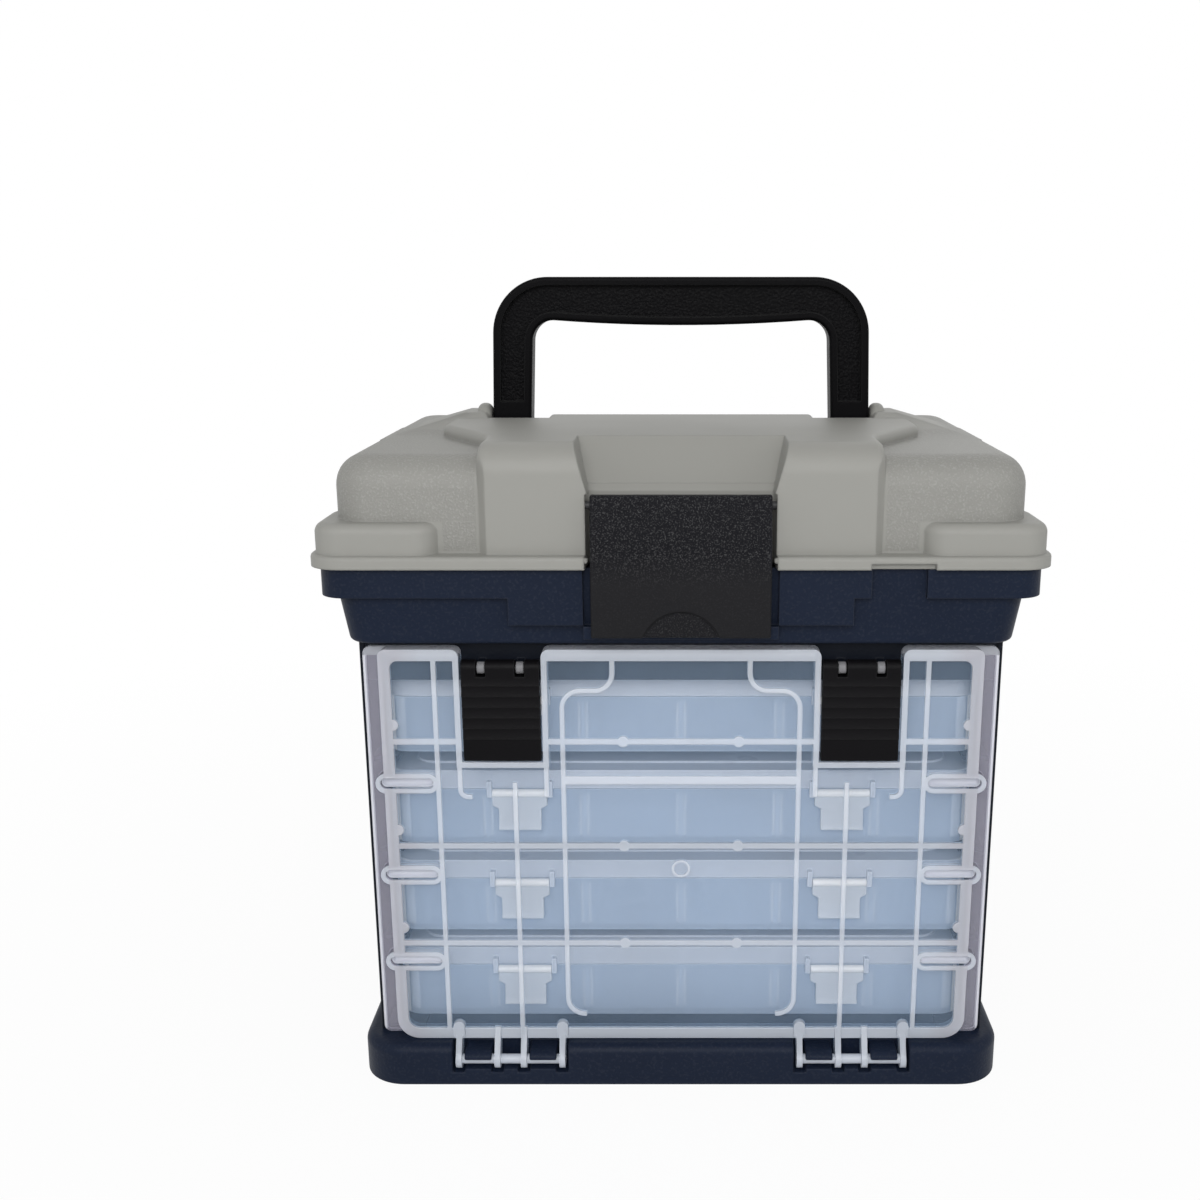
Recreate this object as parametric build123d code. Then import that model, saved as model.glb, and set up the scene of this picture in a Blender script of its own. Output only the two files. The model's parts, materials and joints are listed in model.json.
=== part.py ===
from build123d import *
import os

# Tackle box: a plinth, a rack for four utility boxes behind a clear drop door,
# a tub on top of the rack and a hinged lid with a carrying handle.
# Millimetres. X to the right, the front faces -Y, Z up, origin on the floor under the middle.

# General clearances
running_gap = 0.3        # between a moving piece and its neighbour
bore_gap = 0.3           # between a pin and a bore that turns on it
pin_fit = 0.05           # between a pin and a hole that grips it
seam_gap = 0.2           # between two closed shells at their parting line
overcut = 1.0            # how far a cut runs past the face it opens

# Plinth
plinth_width = 263.0
plinth_depth = 188.0
plinth_height = 17.5
plinth_corner = 18.0
plinth_edge = 4.0
plinth_wall = 3.0
plinth_deck = 3.5
plinth_rib = 2.0
plinth_rib_rise = 9.5
plinth_ribs_across = 3
plinth_ribs_along = 2

# Rack
rack_inset = 6.8         # from the plinth's side to the rack's side
rack_wall = 2.2
rack_floor = 2.0         # thickness of the lower flanges, which carry the lowest box
rack_setback = 14.3      # from the plinth's front to the front edge of the rack
rack_rear_setback = 4.0
rack_corner = 6.0
rack_return = 16.0       # how far a side panel turns in at the rear
header_height = 16.5
header_thickness = 3.5
flange_reach = 12.0      # inward flange under the tub
base_flange_reach = 16.0
flange_thickness = 2.0
runner_reach = 10.0
runner_thickness = 2.2
runner_front_gap = 4.0

# Utility boxes
box_count = 4
box_side_gap = 4.5       # between a box and the rack's wall
box_rear_gap = 8.3
box_head_gap = 4.7       # between a box and the runner above it
box_stack_room = 10.0    # left over the floor and the stack of boxes
box_corner = 9.0
box_wall = 1.6
box_floor = 1.6
box_lid_height = 8.0
box_lid_panel_inset = 9.0
box_lid_panel_rise = 0.8
box_door_gap = 8.5       # from the door's flange back to the box front
box_columns = 6
box_rows = 1
divider_thickness = 1.4
divider_drop = 3.0       # top of a divider below the tray's rim
divider_slot_gap = 0.2
slot_rib = 1.2
slot_rib_reach = 1.8
clasp_spacing = 130.0
clasp_top_width = 22.0
clasp_bottom_width = 17.0
clasp_height = 15.0
clasp_thickness = 2.0
clasp_barrel = 1.6
clasp_lip = 1.4
clasp_stand = 0.9        # from the tray's front to the back of a clasp
clasp_drop = 1.0         # clasp pivot below the lid's lower edge
clasp_shoulder = 5.0     # height of the wide upper part
clasp_catch_drop = 7.5   # catch below the pivot
clasp_lug_rise = 3.75
clasp_lip_height = 2.8
box_knuckle = 1.9
box_knuckle_length = 14.0
box_knuckle_spacing = 120.0
box_pin = 0.9

# Front door
door_height = 165.4
door_side_gap = 1.7      # from the rack's side to the door's flange
door_top_gap = 2.2       # from the door to the tub
door_floor_gap = 0.4     # from the plinth's top to the door
door_flange = 2.2
door_strip = 6.8         # flange left beside the raised panel
door_panel_rise = 6.6    # from the flange's back to the panel's face
door_skin = 2.0
door_wall = 2.2
door_corner = 9.0
door_top_corner = 3.0
door_rib = 1.8           # width of a thin rib
door_rib_rise = 1.2
door_frame = 4.5
door_row_rib = 2.2
door_shelf_rib = 3.4
door_row_heights = (42.8, 84.9, 128.4)      # above the door's lower edge
door_shelf_height = 112.5
door_outer_cell = 21.2   # from the panel's side to the outermost upright rib
door_middle_rib = 65.0   # half spacing of the upright ribs under the latches
door_label_half = 46.0   # half width of the outline in the middle
door_label_neck = 26.5
door_label_bottom = 11.0
door_label_shoulder = 16.4   # below the door's top
door_label_radius = 7.0
door_label_hook = 7.4
slot_heights = (34.6, 72.4, 111.1)
slot_height = 4.4
slot_frame = 1.8
slot_floor = 0.8         # skin left at the back of a slot
slot_bulge = 3.4         # how far a slot's rounded end passes the panel's side
gate_height = 75.1
gate_radius = 3.7
gate_ring = 1.0
row_pad_offset = 22.5
row_pad_radius = 2.2

# Door hinges
hinge_centre = 69.8
finger_offsets = (-21.2, -5.4, 5.4, 21.2)
finger_thickness = 2.4
finger_radius = 3.6
finger_root = 5.0        # height of a finger's root on the door
hinge_height = 10.0
hinge_rod = 2.0
hinge_boss_height = 8.0
hinge_boss_radius = 2.3
pocket_side_gap = 1.3
pocket_depth = 11.0
pocket_floor_gap = 0.7
hook_thickness = 2.0
hook_side_gap = 1.2

# Door latches
latch_spacing = 139.0
latch_width = 30.2
latch_length = 37.0      # from its pivot to its lower end
latch_plate = 2.8
latch_barrel = 3.2
latch_drop = 10.1        # pivot below the rack's top
latch_pin = 1.1
latch_lug = 3.0
latch_lug_offset = 7.5
latch_lug_gap = 0.4
latch_lug_round = 2.4
latch_slot_drop = 3.0
latch_reach = 4.8        # pivot in front of the rack's front edge
latch_grips = 6
latch_grip_pitch = 3.3
latch_grip_rise = 0.6
latch_grip_start = 7.0
latch_grip_height = 1.7
notch_side_gap = 0.7
notch_end_gap = 0.6
notch_corner = 3.0       # round of the door's upper edge beside a notch
bay_drop = 14.9          # ribs beside a door latch run this far below it
bay_hook = 4.5
bay_round = 3.0

# Tub
tub_floor = 2.5
tub_wall = 2.4
tub_base_side = 3.3      # tub's base past the rack's side
tub_base_front = 6.0     # setback of the tub's base behind the plinth's front
tub_base_rear = 4.0
tub_base_corner = 11.0
tub_flare = 3.0          # shoulder past the base on each side
tub_shoulder_front = 4.2
tub_shoulder_rear = 4.0
tub_shoulder_height = 18.9
tub_band_side = 5.7      # band past the shoulder on each side
tub_band_front = 1.5
tub_band_height = 11.1
tub_band_corner = 11.0
tub_edge = 2.0           # round along the bottom
step_outer = 65.0        # half width over the deeper band beside the main latch
step_drop = 10.4
latch_bay_half = 36.8
band_gap_start = 71.4
band_gap_end = 92.2
catch_height = 5.0
catch_reach = 2.4
catch_lift = 3.0

# Lid
lid_side = 3.3           # lip past the tub's band on each side
lid_overhang = 1.0       # lip in front of the plinth
lid_rear_setback = 4.0
lip_height = 4.9
lip_corner = 13.0
lip_edge = 1.6
lip_notch_start = 70.7
lip_notch_end = 94.9
lip_notch_height = 2.3
lid_wall = 2.6
lid_block_side = 9.0     # block inside the lip on each side
lid_block_setback = 8.0  # block behind the lip's front
lid_block_rear_setback = 3.0
lid_block_height = 41.2  # above the parting line
lid_block_corner = 15.0
lid_block_edge = 12.0
boss_side = 2.2          # boss inside the lip on each side
boss_setback = 2.4
boss_height = 11.8       # above the lip
boss_end = 90.0          # half distance to a front boss's inner end
boss_back = 40.0         # how far a boss runs back along the side
boss_edge = 4.0
boss_corner = 10.0
strap_inner = 38.0
strap_outer = 72.5
strap_setback = 4.4
strap_edge = 11.5
strap_draft = 3.0
crown_height = 46.2      # above the parting line
crown_flare_side = 16.6  # crown's back corner past the handle's side
crown_flare_setback = 35.0   # start of the flare behind the lip's front
crown_flare_lead = 41.0  # end of the flare in front of the handle's pivot
crown_handle_gap = 2.0
tongue_gap = 6.6         # between the tongue and a leg of the handle
tongue_reach = 7.0       # tongue behind the handle's pivot
crown_edge = 3.0
crown_bend = 20.0        # round where the crown flares
recess_depth = 15.5      # bay's back wall behind the lip's front
recess_floor_top = 27.8
recess_run = 35.0        # slope's upper edge behind the lip's front
recess_bottom_half = 36.0
recess_back_half = 34.8
recess_top_half = 40.0
lid_inside_height = 30.0
lid_inside_rear_gap = 4.0

# Handle and its pivots
handle_width = 164.8
handle_top_width = 161.2
handle_rise = 63.0       # from the pivot to the top of the grip
handle_leg = 16.8
handle_grip = 17.4
handle_bow = 2.8
handle_depth = 14.0
handle_corner = 24.0
handle_inner_corner = 9.0
handle_bead = 3.4
handle_web = 3.0         # how deep the web lies below the beads
handle_round = 1.5
handle_pin = 2.5
handle_pivot_y = 22.0
handle_pivot_height = 42.4   # above the parting line
handle_side_gap = 0.6
ear_thickness = 11.0
ear_radius = 9.2
ear_width = 6.6
ear_round = 3.0
well_depth = 8.6         # deck of the well below the handle's pivot
ridge_half_depth = 11.0
ridge_top = 6.0          # ridge's inner end above the pivot
ridge_end_inset = 5.0    # ridge's outer end inside the block's side
ridge_end_drop = 3.0     # ridge's outer end below the pivot
ridge_round = 4.0
cove_length = 26.0       # hollow slope in front of the ridge
cove_sag = 1.8

# Lid hinge
lid_hinge_reach = 4.0    # hinge line behind the lid's rear
lid_knuckle = 3.4
lid_pin = 1.5
lid_knuckle_length = 20.0
lid_knuckle_gap = 0.4
lid_knuckle_web = 10.2
lid_hinge_spacing = 150.0

# Main latch
main_latch_width = 67.3
main_latch_top = 27.8    # above the parting line
main_latch_drop = 25.4   # below the parting line
main_latch_plate = 3.6
main_latch_stand = 2.4   # face in front of the lip
main_latch_bend = 9.7    # above the parting line
main_latch_lean = 4.0
main_pivot_height = 23.4
main_pivot_depth = 9.4   # pivot behind the face
main_barrel = 3.4
main_pin = 1.6
main_pin_grip = 5.0      # how far the pin reaches into each strap
main_bead = 1.6
thumb_radius = 15.0
thumb_depth = 0.8
thumb_drop = 5.0         # centre of the thumb hollow below the lower edge

# Screws
screw_head = 3.2
screw_head_height = 2.0
screw_shank = 1.5
base_screw_length = 5.5
tub_screw_length = 9.0
screw_boss = 4.0
tub_boss_height = 9.0
base_screw_inset = 9.0   # from the rack's inner side
tub_screw_inset = 7.5
screw_y = 55.0

# Places that follow from the sizes above
front = -plinth_depth / 2
rear = plinth_depth / 2
rack_front = front + rack_setback
rack_rear = rear - rack_rear_setback
rack_width = plinth_width - 2 * rack_inset
rack_height = door_floor_gap + door_height + door_top_gap
rack_half = rack_width / 2
rack_inner = rack_half - rack_wall
rack_base = plinth_height
rack_top = rack_base + rack_height
floor_top = rack_base + rack_floor
tub_base_width = rack_width + 2 * tub_base_side
tub_shoulder_width = tub_base_width + 2 * tub_flare
tub_band_width = tub_shoulder_width + 2 * tub_band_side
tub_screw_x = rack_inner - tub_screw_inset
base_screw_x = rack_inner - base_screw_inset
parting = rack_top + tub_shoulder_height + tub_band_height

door_width = rack_width - 2 * door_side_gap
door_panel_width = door_width - 2 * door_strip
door_back = rack_front - running_gap
door_face = door_back - door_panel_rise
door_base = plinth_height + door_floor_gap
door_top = door_base + door_height
door_outer_rib = door_panel_width / 2 - door_outer_cell
slot_inner = door_outer_rib
hinge_y = front + finger_radius - pin_fit
latch_y = rack_front - latch_reach
latch_z = rack_top - latch_drop

box_width = 2 * (rack_inner - box_side_gap)
box_front = door_back + box_door_gap
box_back = rack_rear - rack_wall - box_rear_gap
box_depth = box_back - box_front
box_base = floor_top + running_gap
box_pitch = (rack_height - rack_floor - box_stack_room) / box_count
box_height = box_pitch - running_gap - runner_thickness - box_head_gap
tray_height = box_height - box_lid_height - box_lid_panel_rise

lid_width = tub_band_width + 2 * lid_side
lid_front = front - lid_overhang
lid_rear = rear - lid_rear_setback
lid_base = parting + seam_gap
lid_step = lid_base + lip_height
lid_hinge_y = lid_rear + lid_hinge_reach
lid_block_width = lid_width - 2 * lid_block_side
lid_block_front = lid_front + lid_block_setback
lid_block_rear = lid_rear - lid_block_rear_setback
boss_width = lid_width - 2 * boss_side
strap_front = lid_front + strap_setback
recess_floor = lid_front + recess_depth
recess_top = lid_front + recess_run
handle_z = parting + handle_pivot_height
well_floor = handle_z - well_depth
crown_back = handle_pivot_y - handle_depth / 2 - crown_handle_gap
crown_half = strap_outer + strap_draft
crown_flare_half = handle_width / 2 + crown_flare_side
crown_flare_start = lid_front + crown_flare_setback
crown_flare_end = handle_pivot_y - crown_flare_lead
tongue_half = handle_width / 2 - handle_leg - tongue_gap
tongue_back = handle_pivot_y + tongue_reach
ridge_end = lid_block_width / 2 - ridge_end_inset
main_latch_face = lid_front - main_latch_stand
main_pivot_y = main_latch_face + main_pivot_depth
main_pivot_z = parting + main_pivot_height


# Small helpers

def block(x0, x1, y0, y1, z0, z1):
    """A box between two corners."""
    size = Box(x1 - x0, y1 - y0, z1 - z0)
    return Pos((x0 + x1) / 2, (y0 + y1) / 2, (z0 + z1) / 2) * size


def slab(half, y0, y1, z0, z1, radius):
    """An upright prism with a rounded rectangle as its plan, centred on X."""
    plan = Pos(0, (y0 + y1) / 2, z0) * RectangleRounded(2 * half, y1 - y0, radius)
    return extrude(plan, z1 - z0)


def tapered_slab(lower, upper):
    """A loft between two rounded plans, each (half, y0, y1, z, radius)."""
    plans = []
    for half, y0, y1, z, radius in (lower, upper):
        plans.append(Pos(0, (y0 + y1) / 2, z) * RectangleRounded(2 * half, y1 - y0, radius))
    return loft(plans, ruled=True)


def along_x(outline, x0, x1):
    """A closed outline of (y, z) points, drawn out from x0 to x1."""
    face = Plane(origin=(x0, 0, 0), x_dir=(0, 1, 0), z_dir=(1, 0, 0)) * Polygon(*outline, align=None)
    return extrude(face, x1 - x0, dir=(1, 0, 0))


def along_y(outline, y0, y1):
    """A closed outline of (x, z) points, drawn out from y0 back to y1."""
    face = Plane(origin=(0, y1, 0), x_dir=(1, 0, 0), z_dir=(0, -1, 0)) * Polygon(*outline, align=None)
    return extrude(face, y1 - y0, dir=(0, -1, 0))


def along_z(outline, z0, z1):
    """A closed outline of (x, y) points, drawn up from z0 to z1."""
    return extrude(Pos(0, 0, z0) * Polygon(*outline, align=None), z1 - z0, dir=(0, 0, 1))


def rod(x0, x1, y, z, radius):
    """A round bar along X."""
    return Pos((x0 + x1) / 2, y, z) * Rot(0, 90, 0) * Cylinder(radius, x1 - x0)


def post(x, y, z0, z1, radius):
    """A round bar along Z."""
    return Pos(x, y, (z0 + z1) / 2) * Cylinder(radius, z1 - z0)


def knob(x, z, y0, y1, radius):
    """A round bar along Y."""
    return Pos(x, (y0 + y1) / 2, z) * Rot(90, 0, 0) * Cylinder(radius, y1 - y0)


def mirrored(piece):
    """A piece together with its mirror image across the middle plane."""
    return piece + mirror(piece, about=Plane.YZ)


def edges_at(piece, axis, value):
    """The edges whose middle lies at one height along an axis."""
    return piece.edges().filter_by_position(axis, value - seam_gap / 2, value + seam_gap / 2)


# Plinth

def make_plinth():
    body = slab(plinth_width / 2, front, rear, 0, plinth_height, plinth_corner)
    body = fillet(edges_at(body, Axis.Z, plinth_height), plinth_edge)
    inner = plinth_width / 2 - plinth_wall
    ceiling = plinth_height - plinth_deck
    hollow = slab(inner, front + plinth_wall, rear - plinth_wall, 0, ceiling, plinth_corner - plinth_wall)
    half_rib = plinth_rib / 2
    for i in range(plinth_ribs_across):
        x = plinth_width * ((i + 1) / (plinth_ribs_across + 1) - 0.5)
        hollow -= block(x - half_rib, x + half_rib, front, rear, plinth_rib_rise, ceiling)
    for i in range(plinth_ribs_along):
        y = plinth_depth * ((i + 1) / (plinth_ribs_along + 1) - 0.5)
        hollow -= block(-inner, inner, y - half_rib, y + half_rib, plinth_rib_rise, ceiling)
    # Each hinge pocket keeps a back wall and a floor of its own inside the hollow
    pocket_half = finger_offsets[-1] + finger_thickness / 2 + pocket_side_gap
    pocket_back = front + pocket_depth
    pocket_floor = hinge_height - hinge_rod - pocket_floor_gap
    for side in (-1, 1):
        x = side * hinge_centre
        wall_half = pocket_half + plinth_wall
        hollow -= block(x - wall_half, x + wall_half, front, pocket_back + plinth_wall, 0, ceiling)
    body -= hollow
    slot_floor = hinge_height - finger_radius - pocket_floor_gap
    for side in (-1, 1):
        x = side * hinge_centre
        body -= block(x - pocket_half, x + pocket_half, front - overcut, pocket_back, pocket_floor,
                      plinth_height + overcut)
        for offset in finger_offsets:
            half_slot = finger_thickness / 2 + pocket_side_gap
            middle = x + offset
            body -= block(middle - half_slot, middle + half_slot, front - overcut, pocket_back,
                          slot_floor, plinth_height)
        for left, right in zip(finger_offsets[::2], finger_offsets[1::2]):
            body += make_hook(x + left, x + right, pocket_back)
    for x in (-base_screw_x, base_screw_x):
        for y in (-screw_y, screw_y):
            body -= post(x, y, 0, plinth_height + overcut, screw_boss + pin_fit)
    return body


def make_hook(left, right, pocket_back):
    """A hook that reaches over the door's rod between two fingers."""
    x0 = left + finger_thickness / 2 + hook_side_gap
    x1 = right - finger_thickness / 2 - hook_side_gap
    inside = hinge_rod + bore_gap
    outside = inside + hook_thickness
    hook = rod(x0, x1, hinge_y, hinge_height, outside)
    hook += block(x0, x1, hinge_y, pocket_back, hinge_height, hinge_height + outside)
    hook -= rod(x0, x1, hinge_y, hinge_height, inside)
    hook -= block(x0, x1, front - outside, front, 0, plinth_height)
    hook -= block(x0, x1, front - outside, hinge_y, hinge_height - outside, hinge_height + inside / 2)
    return hook - block(x0, x1, hinge_y, pocket_back, hinge_height - outside, hinge_height - inside / 2)


# Rack: two side panels, a back panel between their returns and a header across the front

def make_rack_side():
    """The right side panel, with its rounded rear corner, flanges, screw bosses and runners."""
    far_front = rack_front - 2 * rack_corner
    side = slab(rack_half, far_front, rack_rear, rack_base, rack_top, rack_corner)
    side -= slab(rack_inner, far_front, rack_rear - rack_wall, rack_base, rack_top, rack_corner - rack_wall)
    side &= block(rack_half - rack_return, rack_half, rack_front, rack_rear, rack_base, rack_top)
    flange_base = rack_top - flange_thickness
    behind_header = rack_front + header_thickness
    inside_back = rack_rear - rack_wall
    side += block(rack_inner - flange_reach, rack_inner, behind_header, inside_back, flange_base, rack_top)
    side += block(rack_inner - base_flange_reach, rack_inner, rack_front, inside_back, rack_base, floor_top)
    # A runner for every box above the first
    for level in range(1, box_count):
        runner_top = box_base + level * box_pitch - running_gap
        side += block(rack_inner - runner_reach, rack_inner, rack_front + runner_front_gap, inside_back,
                      runner_top - runner_thickness, runner_top)
    for y in (-screw_y, screw_y):
        foot = rack_base - plinth_deck
        side += post(base_screw_x, y, foot, rack_base, screw_boss)
        side -= post(base_screw_x, y, foot, foot + base_screw_length, screw_shank + pin_fit)
        side += post(tub_screw_x, y, flange_base - tub_boss_height, flange_base, screw_boss)
        tip = rack_top + tub_floor - tub_screw_length
        side -= post(tub_screw_x, y, tip, rack_top, screw_shank + pin_fit)
    return side


def make_rack_back():
    half = rack_half - rack_return
    inside_back = rack_rear - rack_wall
    back = block(-half, half, inside_back, rack_rear, rack_base, rack_top)
    flange_base = rack_top - flange_thickness
    return back + block(-half, half, inside_back - flange_reach, inside_back, flange_base, rack_top)


def make_rack_header():
    """The rail above the door, with the flange that the tub rests on and the lugs of the door latches."""
    behind = rack_front + header_thickness
    header = block(-rack_inner, rack_inner, rack_front, behind, rack_top - header_height, rack_top)
    half = rack_inner - flange_reach
    header += block(-half, half, behind, rack_front + flange_reach, rack_top - flange_thickness, rack_top)
    for side in (-1, 1):
        for offset in (-latch_lug_offset, latch_lug_offset):
            header += make_latch_lug(side * latch_spacing / 2 + offset)
    return header


def make_latch_lug(x):
    """A lug on the header that holds a door latch's pin."""
    half = latch_lug / 2
    lug = rod(x - half, x + half, latch_y, latch_z, latch_lug_round)
    lug += block(x - half, x + half, latch_y, rack_front,
                 latch_z - latch_lug_round, latch_z + latch_lug_round)
    return lug - rod(x - half, x + half, latch_y, latch_z, latch_pin + pin_fit)


# Screws: the base's go up from under the plinth, the tub's go down from inside the tub

def make_screws():
    screws = []
    head_top = plinth_height - plinth_deck
    for x in (-base_screw_x, base_screw_x):
        for y in (-screw_y, screw_y):
            screw = post(x, y, head_top - screw_head_height, head_top, screw_head)
            screws.append(screw + post(x, y, head_top, head_top + base_screw_length - pin_fit, screw_shank))
    seat = rack_top + tub_floor
    for x in (-tub_screw_x, tub_screw_x):
        for y in (-screw_y, screw_y):
            screw = post(x, y, seat, seat + screw_head_height, screw_head)
            screws.append(screw + post(x, y, seat - tub_screw_length + pin_fit, seat, screw_shank))
    return Compound(children=screws)


# Utility boxes, all made at the lowest level

def row_edges():
    """Front and back of each row of compartments."""
    inside = box_depth - 2 * box_wall
    room = (inside - (box_rows - 1) * box_wall) / box_rows
    rows = []
    for i in range(box_rows):
        start = box_front + box_wall + i * (room + box_wall)
        rows.append((start, start + room))
    return rows


def divider_lines():
    """X of each upright divider."""
    return [box_width * (i / box_columns - 0.5) for i in range(1, box_columns)]


def make_tray():
    half = box_width / 2
    rim = box_base + tray_height
    tray = slab(half, box_front, box_back, box_base, rim, box_corner)
    tray -= slab(half - box_wall, box_front + box_wall, box_back - box_wall, box_base + box_floor, rim,
                 box_corner - box_wall)
    for start, end in row_edges()[:-1]:
        tray += block(box_wall - half, half - box_wall, end, end + box_wall,
                      box_base + box_floor, rim - divider_drop)
    # Pairs of small ribs make the slots that the dividers stand in
    ribs = []
    for x in divider_lines():
        inner = divider_thickness / 2 + divider_slot_gap
        for start, end in row_edges():
            for y0, y1 in ((start, start + slot_rib_reach), (end - slot_rib_reach, end)):
                for x0, x1 in ((x - inner - slot_rib, x - inner), (x + inner, x + inner + slot_rib)):
                    ribs.append(block(x0, x1, y0, y1, box_base + box_floor, rim - divider_drop))
    tray = tray.fuse(*ribs)
    pivot = rim - clasp_drop
    for x in (-clasp_spacing / 2, clasp_spacing / 2):
        catch = pivot - clasp_catch_drop
        tray += block(x - clasp_bottom_width / 2, x + clasp_bottom_width / 2,
                      box_front - clasp_stand + running_gap, box_front, catch, catch + clasp_lip)
    knuckle_y = box_back + box_knuckle
    for x in (-box_knuckle_spacing / 2, box_knuckle_spacing / 2):
        half_length = box_knuckle_length / 2
        tray += rod(x - half_length, x + half_length, knuckle_y, rim, box_knuckle)
        tray += block(x - half_length, x + half_length, box_back - box_wall, knuckle_y,
                      rim - box_knuckle, rim)
        tray += rod(x - box_knuckle_length, x + box_knuckle_length, knuckle_y, rim, box_pin)
    return tray


def make_box_lid():
    half = box_width / 2
    base = box_base + tray_height + seam_gap
    top = base - seam_gap + box_lid_height
    lid = slab(half, box_front, box_back, base, top, box_corner)
    lid -= slab(half - box_wall, box_front + box_wall, box_back - box_wall, base, top - box_wall,
                box_corner - box_wall)
    lid += slab(half - box_lid_panel_inset, box_front + box_lid_panel_inset, box_back - box_lid_panel_inset,
                top, top + box_lid_panel_rise, box_corner)
    pivot = box_base + tray_height - clasp_drop
    lug_front = box_front - clasp_stand - clasp_thickness
    for x in (-clasp_spacing / 2, clasp_spacing / 2):
        for side in (-1, 1):
            inner = clasp_top_width / 2 + seam_gap
            ends = sorted((x + side * inner, x + side * (inner + clasp_thickness)))
            lid += block(ends[0], ends[1], lug_front, box_front + box_wall, base, base + clasp_lug_rise)
            lid += block(ends[0], ends[1], lug_front, box_front - running_gap, pivot - clasp_barrel, base)
    knuckle_y = box_back + box_knuckle
    rim = box_base + tray_height
    for x in (-box_knuckle_spacing / 2, box_knuckle_spacing / 2):
        for side in (-1, 1):
            ends = sorted((x + side * (box_knuckle_length / 2 + seam_gap), x + side * box_knuckle_length))
            knuckle = rod(ends[0], ends[1], knuckle_y, rim, box_knuckle)
            knuckle += block(ends[0], ends[1], box_back - box_wall, knuckle_y, base, rim + box_knuckle)
            lid += knuckle - rod(ends[0], ends[1], knuckle_y, rim, box_pin + pin_fit)
    return lid


def make_clasps():
    """Two clasps: a barrel at the top, a tapering plate, a hook bead and a flared lower lip."""
    pivot = box_base + tray_height - clasp_drop
    foot = pivot - clasp_height
    back = box_front - clasp_stand
    face = back - clasp_thickness
    clasps = []
    for x in (-clasp_spacing / 2, clasp_spacing / 2):
        upper = clasp_top_width / 2
        lower = clasp_bottom_width / 2
        shoulder = pivot - clasp_shoulder
        outline = [(x - upper, pivot), (x - upper, shoulder), (x - lower, shoulder - clasp_lip),
                   (x - lower, foot), (x + lower, foot), (x + lower, shoulder - clasp_lip),
                   (x + upper, shoulder), (x + upper, pivot)]
        clasp = along_y(outline, face, back)
        clasp += rod(x - upper, x + upper, (face + back) / 2, pivot, clasp_barrel)
        clasp += along_x([(face, foot), (face - clasp_lip, foot), (face, foot + clasp_lip_height)],
                         x - lower, x + lower)
        bead = pivot - clasp_catch_drop - running_gap
        clasp += block(x - lower, x + lower, back, box_front - seam_gap, bead - clasp_lip, bead)
        clasps.append(clasp)
    return Compound(children=clasps)


def make_dividers():
    plates = []
    half = divider_thickness / 2
    for x in divider_lines():
        for start, end in row_edges():
            plates.append(block(x - half, x + half, start + divider_slot_gap, end - divider_slot_gap,
                                box_base + box_floor, box_base + tray_height - divider_drop))
    return Compound(children=plates)


# Front door: a shallow clear dish with a flange, raised ribs, open side slots and hinge fingers

def sheet(drawing, y0, y1):
    """A flat drawing of (x, z) at y0, drawn out forward to y1."""
    face = Plane(origin=(0, y0, 0), x_dir=(1, 0, 0), z_dir=(0, -1, 0)) * drawing
    return extrude(face, y0 - y1, dir=(0, -1, 0))


def door_outline(half, z0, z1, lower_radius, upper_radius):
    outline = Polygon((-half, z0), (half, z0), (half, z1), (-half, z1), align=None)
    corners = outline.vertices().sort_by(Axis.Y)
    outline = fillet(corners[:2], lower_radius)
    return fillet(outline.vertices().sort_by(Axis.Y)[-2:], upper_radius)


def notch_outline(x, margin, depth):
    """The open notch for a door latch, grown by a margin and taken down to a depth."""
    half = latch_width / 2 + notch_side_gap + margin
    top = door_top + overcut
    return Polygon((x - half, depth), (x + half, depth), (x + half, top), (x - half, top), align=None)


def corner_cut(x, direction):
    """What a round takes off the door's upper edge at one side of a notch."""
    low = door_top - notch_corner
    square = Pos(x + direction * notch_corner / 2, door_top - notch_corner / 2)
    square = square * Rectangle(notch_corner, notch_corner)
    return square - Pos(x + direction * notch_corner, low) * Circle(notch_corner)


def make_door():
    half = door_panel_width / 2
    rib_face = door_face - door_rib_rise
    flange_face = door_back - door_flange
    door = sheet(door_outline(door_width / 2, door_base, door_top, door_top_corner, door_top_corner),
                 door_back, flange_face)
    panel = door_outline(half, door_base, door_top, door_corner, door_top_corner)
    door += sheet(panel, door_back, door_face)
    door -= sheet(door_outline(half - door_wall, door_base + door_wall, door_top - door_wall,
                               door_corner - door_wall, door_top_corner), door_back, door_face + door_skin)
    ribs = door_ribs(half)
    door += sheet(ribs & panel, door_face, rib_face)
    door += make_slot_frames(half, flange_face, rib_face)
    door = cut_slots(door, half, flange_face, rib_face)
    # The latch notches, each with a wall round it
    notch_base = latch_z - latch_length - notch_end_gap
    for side in (-1, 1):
        x = side * latch_spacing / 2
        wall = notch_outline(x, door_wall, notch_base - door_wall)
        door += sheet(wall & panel, door_back, rib_face)
        door -= sheet(notch_outline(x, 0, notch_base), door_back + overcut, rib_face - overcut)
        for direction in (-1, 1):
            edge = x + direction * (latch_width / 2 + notch_side_gap)
            door -= sheet(corner_cut(edge, direction), door_back + overcut, rib_face - overcut)
    for side in (-1, 1):
        door += make_hinge(side * hinge_centre, rib_face)
    return door


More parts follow.
